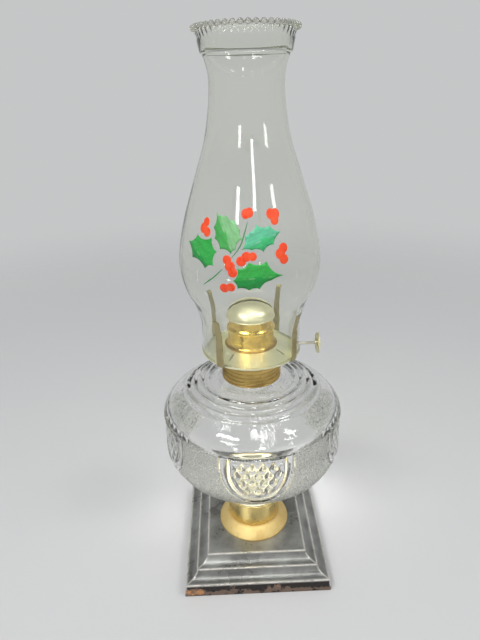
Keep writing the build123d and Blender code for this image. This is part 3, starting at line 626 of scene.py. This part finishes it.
wick_shape = bmesh.new()
edge_line = []
for step in range(CORDS * CORD_STEPS + 1):
    share = step / (CORDS * CORD_STEPS)
    rib = abs(sin(pi * share * CORDS))
    edge_line.append((WICK_HALF * (2 * share - 1), WICK_THICK / 2 * (1 - CORD_GROOVE + CORD_GROOVE * rib)))
wick_section = edge_line + [(x, -y) for x, y in reversed(edge_line)]
corners = [wick_shape.verts.new((x * MM, y * MM, WICK_LOW * MM)) for x, y in wick_section]
strip = wick_shape.faces.new(corners)
grown = bmesh.ops.extrude_face_region(wick_shape, geom=[strip])["geom"]
lifted = [part for part in grown if isinstance(part, bmesh.types.BMVert)]
bmesh.ops.translate(wick_shape, verts=lifted, vec=(0, 0, (WICK_HIGH - WICK_LOW) * MM))
bmesh.ops.recalc_face_normals(wick_shape, faces=wick_shape.faces)
put("cotton_wick", wick_shape, woven_cotton(), "wick", "cotton", "wick", crease=60)

# Chimney: thin blown glass, straight where the prongs hold it, swelling round the flame and drawn in
# to a long throat, with a pressed crown of beads. A faint green shows where one looks along its wall.
# The beads are made a little milky and rough as painted light, so they read pale.
GLASS = 2.2
FITTER_R, CHIMNEY_FOOT, FITTER_MIDDLE = 37.4, 203.0, 213.0
CHIMNEY_KNOTS = (
    (FITTER_R, 224.0),
    (41.3, 241.4),
    (48.4, 257.4),
    (50.8, 275.5),
    (46.2, 302.0),
    (37.5, 329.6),
    (29.0, 355.4),
    (25.1, 376.5),
    (24.3, 389.0),
)
THROAT = (25.2, 398.4)
CROWN = ((27.6, 405.8), (28.8, 406.5), (30.2, 413.2), (30.2, 414.9))
BEAD_RING, BEAD_R, BEAD_Z, BEADS = 32.3, 1.7, 419.8, 46
BEAD_STEPS, BEAD_GAP = 10, 0.06
foot_out, foot_in = (FITTER_R, CHIMNEY_FOOT + 1.1), (FITTER_R - GLASS, CHIMNEY_FOOT + 1.1)
chimney_wall = [foot_out, (FITTER_R, FITTER_MIDDLE), CHIMNEY_KNOTS[0]]
chimney_wall += flow(CHIMNEY_KNOTS, 7, (0, 1), (0, 1))
chimney_wall += bow(CHIMNEY_KNOTS[-1], THROAT, CROWN[0], 8)
bead_turns = [radians(turn) for turn in range(-130, 141, 18)]
bead_line = [(BEAD_RING + BEAD_R * cos(turn), BEAD_Z + BEAD_R * sin(turn)) for turn in bead_turns]
inner_knots = [(r - GLASS, z) for r, z in reversed(CHIMNEY_KNOTS)]
inner_wall = [
    (BEAD_RING - 2.6, 419.2),
    (CROWN[2][0] - GLASS, CROWN[2][1] + 1.4),
    (CROWN[0][0] - GLASS + 0.8, CROWN[0][1] + 1.6),
]
inner_wall += bow(inner_wall[-1], (THROAT[0] - GLASS, THROAT[1]), inner_knots[0], 8)
inner_wall += flow(inner_knots, 7, (0, -1), (0, -1))
inner_wall += [(FITTER_R - GLASS, FITTER_MIDDLE)]
chimney_outline = chimney_wall + list(CROWN[1:]) + bead_line + inner_wall + [foot_in]
chimney_outline += bow(foot_in, (FITTER_R - GLASS / 2, CHIMNEY_FOOT), foot_out, 8)[:-1]
chimney_shape = spun(chimney_outline, BEADS * BEAD_STEPS)
beaded = chimney_shape.verts.layers.float.new("beaded")
middle = Vector((BEAD_RING, BEAD_Z))
bead_pitch = 2 * pi * BEAD_RING / BEADS
for vert in chimney_shape.verts:
    flat = Vector((hypot(vert.co.x, vert.co.y) / MM, vert.co.z / MM))
    if (flat - middle).length < BEAD_R + 0.05:
        away = ((degrees(atan2(vert.co.y, vert.co.x)) * BEADS / 360) % 1 - 0.5) * bead_pitch
        drawn = middle + (flat - middle) * sqrt(max(BEAD_GAP, 1 - (away / BEAD_R) ** 2))
        vert.co.x *= drawn.x / flat.x
        vert.co.y *= drawn.x / flat.x
        vert.co.z = drawn.y * MM
        vert[beaded] = 1.0
chimney_shape.normal_update()
# Painted light: a milky, rough share in the beads makes them read pale, in place of light caught in clear beads.
bead_milk_painted_light = ("beaded", 0.3, 0.15, 900.0, 0.0001)
chimney_glass = clear_glass("chimney_glass", (0.62, 0.69, 0.46, 1), 70.0, 30, 0.0007, bead_milk_painted_light)
put("glass_chimney", chimney_shape, chimney_glass, "chimney", "chimney_glass", "chimney", crease=40)

# Holly: a sprig of four leaves, two stalks and seven groups of berries in enamel, fired on the front
# of the chimney. Places are in degrees to the right of the front and in millimetres of height; a leaf
# gives its darker and brighter green, the two ends of its midrib, and its spines. The top and right
# leaves' greens are lightened with a painted reflection of the lamps.
ENAMEL, ENAMEL_LIFT, BERRY_LIFT = 0.12, 0.03, 0.1
UNROLL = 50.0
LEAVES = {
    "leaf_left": (
        (0.010, 0.33, 0.058),
        (0.035, 0.47, 0.075),
        (-54.1, 294.7),
        (-34.9, 283.5),
        (
            (-59.3, 295.3), (-48.1, 301.1), (-33.0, 300.9), (-28.0, 292.7), (-30.2, 283.5),
            (-37.6, 280.9), (-51.6, 285.9),
        ),
    ),
    # Painted reflection: this leaf's greens are lightened for a lamp's reflection on the glass.
    "leaf_top": (
        (0.075, 0.47, 0.10),
        (0.27, 0.62, 0.27),
        (-28.6, 314.6),
        (-15.6, 293.8),
        (
            (-31.1, 316.2), (-21.2, 314.7), (-13.7, 312.0), (-9.4, 306.9), (-8.1, 301.0),
            (-12.9, 294.5), (-16.5, 292.0), (-25.4, 294.3), (-30.4, 300.5), (-32.2, 307.0),
        ),
    ),
    # Painted reflection: this leaf's greens are lightened for a lamp's reflection on the glass.
    "leaf_right": (
        (0.06, 0.56, 0.20),
        (0.14, 0.63, 0.36),
        (-5.8, 296.1),
        (19.8, 303.5),
        (
            (-8.5, 294.4), (-6.1, 302.9), (-1.9, 305.2), (2.9, 309.5), (13.9, 308.5),
            (23.5, 304.2), (16.0, 296.9), (7.9, 293.0), (-0.7, 294.3),
        ),
    ),
    "leaf_low": (
        (0.010, 0.33, 0.055),
        (0.040, 0.47, 0.072),
        (-11.8, 276.0),
        (20.5, 277.2),
        (
            (-14.8, 274.9), (-11.4, 282.8), (-3.0, 286.8), (9.9, 287.0), (23.2, 276.9),
            (12.8, 274.5), (4.6, 269.3), (-3.2, 268.6), (-11.7, 269.8),
        ),
    ),
}
STALKS = {
    "stalk_top": ((-3.7, 311.4), (-6.2, 304.4), (-9.6, 296.7), (-15.9, 289.5)),
    "stalk_low": ((-23.1, 281.9), (-28.8, 277.0), (-34.1, 273.2), (-39.7, 269.4)),
}
STALK_HALF = 0.5
BERRIES = (
    ((-40.0, 309.7, 2.8), (-42.2, 305.9, 3.2), (-38.2, 303.8, 3.0)),
    ((-5.3, 315.9, 3.1), (-2.3, 316.5, 3.0)),
    ((15.8, 315.2, 3.2), (20.2, 315.0, 3.2), (18.8, 311.5, 3.1)),
    ((23.8, 294.1, 3.2), (20.9, 290.8, 3.4), (23.6, 287.1, 3.1)),
    ((-19.5, 288.2, 2.9), (-17.2, 284.2, 3.4), (-15.0, 280.2, 3.1)),
    ((-8.8, 287.6, 3.2), (-4.9, 290.4, 3.1), (-0.3, 290.4, 2.7)),
    ((-21.6, 269.5, 3.1), (-16.6, 270.4, 2.9)),
)
BERRY_BULGE = 0.07
SCALLOP = 0.16
CELL = 2.0
WASH = 0.7


def fired(shape, lift=0.0):
    """Lays flat enamel on the chimney's wall: x is the way round, z the height; y holds its thickness."""
    for vert in shape.verts:
        turn = vert.co.x / (UNROLL * MM)
        out = across(vert.co.z / MM, chimney_wall) * MM + lift * MM - vert.co.y
        vert.co.x, vert.co.y = out * sin(turn), -out * cos(turn)
    return close_up(shape)


def cut_cells(shape):
    """Cuts flat enamel into small cells, so that it can follow the wall."""
    for axis in (0, 2):
        places = [vert.co[axis] for vert in shape.verts]
        first, last = int(min(places) / (CELL * MM)), int(max(places) / (CELL * MM))
        for step in range(first, last + 1):
            spot, facing = Vector((0, 0, 0)), Vector((0, 0, 0))
            spot[axis], facing[axis] = step * CELL * MM, 1
            whole = list(shape.verts) + list(shape.edges) + list(shape.faces)
            bmesh.ops.bisect_plane(shape, geom=whole, dist=1e-7, plane_co=spot, plane_no=facing)


def unrolled(places):
    """Places on the wall laid out flat, in millimetres."""
    return [Vector((radians(turn) * UNROLL, z)) for turn, z in places]


def spiny(tips):
    """A holly leaf's outline, with hollow edges between its spines."""
    flat = unrolled(tips)
    heart = sum(flat, Vector((0, 0))) / len(flat)
    line = []
    for one, two in zip(flat, flat[1:] + flat[:1]):
        inward = heart - (one + two) / 2
        dip = (one + two) / 2 + inward.normalized() * SCALLOP * (two - one).length
        line += bow(tuple(one), tuple(dip), tuple(two), 6)
    return line


def stroke(path):
    """The outline of one stroke of the brush, thickest in its middle."""
    flat = unrolled(path)
    middle = [flat[0]] + [Vector(p) for p in flow([tuple(p) for p in flat], 5)]
    sides = []
    for i, point in enumerate(middle):
        ahead = middle[min(i + 1, len(middle) - 1)] - middle[max(i - 1, 0)]
        half = STALK_HALF * (0.35 + 0.65 * sin(pi * i / (len(middle) - 1)))
        sides.append((point, Vector((-ahead.y, ahead.x)).normalized() * half))
    return [tuple(p + out) for p, out in sides] + [tuple(p - out) for p, out in reversed(sides)]


def flat_enamel(line, base, end):
    """Flat enamel of that outline, with a map that runs along and across its midrib."""
    shape = bmesh.new()
    corners = [shape.verts.new((x * MM, 0, z * MM)) for x, z in line]
    shape.faces.new(corners)
    cut_cells(shape)
    ends = [spot * MM for spot in unrolled((base, end))]
    rib = ends[1] - ends[0]
    ribs = shape.loops.layers.uv.new("midrib")
    for face in shape.faces:
        for loop in face.loops:
            away = Vector((loop.vert.co.x, loop.vert.co.z)) - ends[0]
            loop[ribs].uv = (away.dot(rib) / rib.length, away.cross(rib) / rib.length)
    return shape


def leaf_enamel(name, shade, bright):
    """Green enamel, brushed on darker at one side of the midrib, with a faint rib and side veins."""
    finish, tree, shader, _ = bare_finish(name)
    rib = node(tree, "ShaderNodeUVMap", uv_map="midrib").outputs["UV"]
    apart = node(tree, "ShaderNodeSeparateXYZ", {"Vector": rib}).outputs
    side = sums(tree, "ABSOLUTE", apart["Y"])
    slant = sums(tree, "SUBTRACT", apart["X"], sums(tree, "MULTIPLY", side, 0.8))
    comb = sums(tree, "PINGPONG", slant, 0.0022)
    veins = sums(tree, "MAXIMUM", grade(tree, side, 0.0004, 0.0002), grade(tree, comb, 0.00018, 0.00006, 0.0, 0.6))
    veins = sums(tree, "MULTIPLY", veins, grade(tree, cloud(tree, rib, 170, 2), 0.48, 0.6, 0.0, 0.35))
    brushed = node(tree, "ShaderNodeMapping", {"Vector": rib, "Scale": (0.35, 1, 1)}).outputs["Vector"]
    washes = grade(tree, cloud(tree, brushed, 320, 5), 0.3, 0.72)
    half = grade(tree, sums(tree, "ADD", apart["Y"], grade(tree, washes, 0, 1, -0.0012, 0.0012)), -0.0009, 0.0009)
    thick = [tuple(WASH * part for part in tone) + (1,) for tone in (bright, shade)]
    thin = [tone + (1,) for tone in (bright, shade)]
    colour = tint(tree, washes, tint(tree, half, *thick), tint(tree, half, *thin))
    colour = tint(tree, veins, colour, tuple(0.4 + 0.6 * part for part in bright) + (1,))
    coat(tree, shader, colour, grade(tree, washes, 0, 1, 0.28, 0.42), relief(tree, washes, 0.00008, 0.5))
    return finish


def paint(name, shape, finish):
    """Fires flat enamel on the chimney and gives it its thickness."""
    piece = put(name, fired(shape, ENAMEL_LIFT), finish, "chimney", "chimney_glass")
    body = piece.modifiers.new("enamel", "SOLIDIFY")
    body.thickness = ENAMEL * MM
    body.offset = 1.0


for leaf, (shade, bright, base, end, tips) in LEAVES.items():
    paint(leaf, flat_enamel(spiny(tips), base, end), leaf_enamel(f"{leaf}_enamel", shade, bright))
stalk_green = leaf_enamel("stalk_enamel", (0.05, 0.26, 0.08), (0.10, 0.36, 0.14))
for stalk, places in STALKS.items():
    paint(stalk, flat_enamel(stroke(places), places[0], places[-1]), stalk_green)


def berry_enamel():
    """Red enamel with an orange cast, brushed on unevenly."""
    finish, tree, shader, place = bare_finish("berry_enamel")
    washes = cloud(tree, place, 260, 5)
    colour = tint(tree, grade(tree, washes, 0.3, 0.7), (0.90, 0.058, 0.012, 1), (0.97, 0.105, 0.026, 1))
    coat(tree, shader, colour, grade(tree, washes, 0.3, 0.7, 0.26, 0.4), relief(tree, washes, 0.0001, 0.5))
    return finish


berry_red = berry_enamel()
for number, group in enumerate(BERRIES, start=1):
    shape = bmesh.new()
    for order, (turn, z, reach) in enumerate(group):
        place = Matrix.Translation((radians(turn) * UNROLL * MM, -ENAMEL_LIFT * MM * order, z * MM))
        flattened = Matrix.Rotation(radians(90), 4, "X") @ Matrix.Diagonal((1, 1, BERRY_BULGE, 1))
        bmesh.ops.create_uvsphere(shape, u_segments=28, v_segments=12, radius=reach * MM, matrix=place @ flattened)
    put(f"berries_{number}", fired(shape, BERRY_LIFT), berry_red, "chimney", "chimney_glass", crease=60)

# Studio: a plain pale floor that fades into a pale surround, soft lights over the front left, the right
# and the top, and three narrow lights that draw streaks down the chimney.
FLOOR_REACH, FADE_FROM, FADE_TO = 1.6, 0.3, 1.4
PALE, OVERHEAD, AMBIENT = (0.56, 0.565, 0.57, 1), (0.10, 0.105, 0.11, 1), (0.42, 0.43, 0.44, 1)
FLOOR_GREY, FLOOR_DROP = (0.62, 0.62, 0.62, 1), 0.0002
floor_shape = bmesh.new()
bmesh.ops.create_circle(floor_shape, cap_ends=True, segments=96, radius=FLOOR_REACH)
floor_mesh = bpy.data.meshes.new("floor")
floor_shape.to_mesh(floor_mesh)
floor_shape.free()
floor = bpy.data.objects.new("floor", floor_mesh)
floor.location = (0, 0, -FLOOR_DROP)
bpy.context.scene.collection.objects.link(floor)
floor_finish, floor_tree, floor_shader, floor_place = bare_finish("pale_floor")
floor_shader.inputs["Base Color"].default_value = FLOOR_GREY
floor_shader.inputs["Roughness"].default_value = 0.8
floor_far = node(floor_tree, "ShaderNodeVectorMath", {0: floor_place}, operation="LENGTH").outputs["Value"]
floor_clear = node(floor_tree, "ShaderNodeBsdfTransparent").outputs["BSDF"]
floor_fade = grade(floor_tree, floor_far, FADE_FROM, FADE_TO)
floor_mix = node(floor_tree, "ShaderNodeMixShader", {0: floor_fade, 1: floor_shader.outputs["BSDF"], 2: floor_clear})
floor_tree.links.new(floor_mix.outputs["Shader"], floor_tree.nodes["Material Output"].inputs["Surface"])
floor_mesh.materials.append(floor_finish)

world = bpy.data.worlds.new("surround")
bpy.context.scene.world = world
world.use_nodes = True
sky = world.node_tree
sky.nodes.clear()
path = node(sky, "ShaderNodeLightPath").outputs
mirrored = sums(sky, "MAXIMUM", path["Is Glossy Ray"], path["Is Transmission Ray"])
seen = sums(sky, "MAXIMUM", path["Is Camera Ray"], mirrored)
glow = node(sky, "ShaderNodeBackground", {"Color": AMBIENT, "Strength": 1.0})
facing = node(sky, "ShaderNodeTexCoord").outputs["Generated"]
upward = node(sky, "ShaderNodeSeparateXYZ", {"Vector": facing}).outputs["Z"]
above = sums(sky, "MULTIPLY", grade(sky, upward, 0.15, 0.6), sums(sky, "SUBTRACT", 1.0, path["Is Camera Ray"]))
shown = node(sky, "ShaderNodeBackground", {"Color": tint(sky, above, PALE, OVERHEAD), "Strength": 1.0})
both = node(sky, "ShaderNodeMixShader", {0: seen, 1: glow.outputs[0], 2: shown.outputs[0]})
node(sky, "ShaderNodeOutputWorld", {"Surface": both.outputs[0]})


def soft_light(name, place, wide, high, power, aim=(0, 0, 0.22)):
    """A rectangular soft light that looks at the lamp."""
    light = bpy.data.lights.new(name, "AREA")
    light.shape = "RECTANGLE"
    light.size, light.size_y, light.energy = wide, high, power
    holder = bpy.data.objects.new(name, light)
    holder.location = place
    holder.rotation_euler = (Vector(place) - Vector(aim)).to_track_quat("Z", "Y").to_euler()
    bpy.context.scene.collection.objects.link(holder)


soft_light("key", (-0.75, -0.8, 1.7), 0.75, 0.25, 14.0)
soft_light("fill", (0.95, -0.45, 1.5), 0.3, 0.3, 5.0)
soft_light("top", (0.04, -0.35, 1.45), 0.1, 0.4, 3.0)
soft_light("panel_left", (-0.507, -1.133, 0.83), 0.14, 0.19, 0.8)
soft_light("panel_middle", (0.198, -1.228, 0.965), 0.14, 0.2, 0.8)
soft_light("panel_right", (0.906, -0.832, 0.775), 0.12, 0.17, 0.6)

# Camera: close in front and level with the chimney, looking down at the lamp.
# It is turned a little to the right and leans a little.
STANDPOINT = (-0.0158, -0.3499, 0.3839)
PAN, TILT, ROLLED = radians(-1.26), radians(65.6), radians(-1.51)
view = bpy.data.cameras.new("view")
view.sensor_width, view.lens = 36.0, 28.18
view.clip_start = 0.01
camera = bpy.data.objects.new("view", view)
turned_to = Matrix.Rotation(PAN, 4, "Z") @ Matrix.Rotation(TILT, 4, "X")
camera.matrix_world = Matrix.Translation(STANDPOINT) @ turned_to @ Matrix.Rotation(ROLLED, 4, "Z")
bpy.context.scene.collection.objects.link(camera)
bpy.context.scene.camera = camera
bpy.context.scene.view_settings.view_transform = "Standard"
